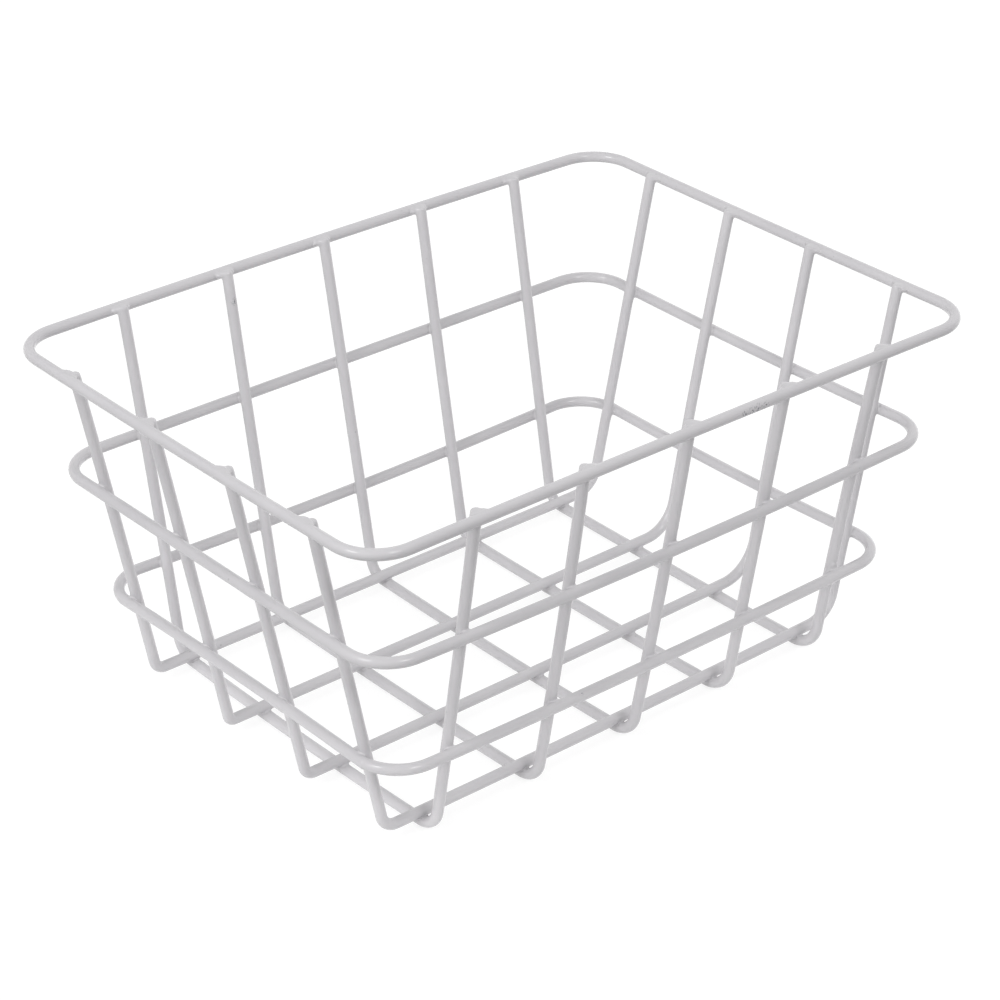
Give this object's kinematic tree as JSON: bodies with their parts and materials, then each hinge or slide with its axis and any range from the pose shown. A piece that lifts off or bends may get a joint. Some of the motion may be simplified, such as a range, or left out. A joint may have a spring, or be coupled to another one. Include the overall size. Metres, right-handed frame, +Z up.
{
  "type": "wire locker basket",
  "caption": "Open rectangular basket of welded, coated round wire with outward leaning walls, for keeping small goods in a locker or on a shelf.",
  "frame": {"origin": "on the surface that the basket stands on, under the middle of its rim", "axes": "+X along the long sides, +Y from the front wall to the back wall, +Z up out of the mouth. Seen from the front, the left end's floor bends are the tight ones."},
  "size_m": [0.305, 0.229, 0.15],
  "materials": {
    "coated_wire": "satin"
  },
  "bodies": {
    "root": {"rim_wire": "coated_wire", "middle_ring_wire": "coated_wire", "lower_ring_wire": "coated_wire", "cross_wire_1": "coated_wire", "cross_wire_2": "coated_wire", "cross_wire_3": "coated_wire", "cross_wire_4": "coated_wire", "cross_wire_5": "coated_wire", "long_wire_1": "coated_wire", "long_wire_2": "coated_wire", "long_wire_3": "coated_wire", "long_wire_4": "coated_wire"}
  },
  "joints": []
}
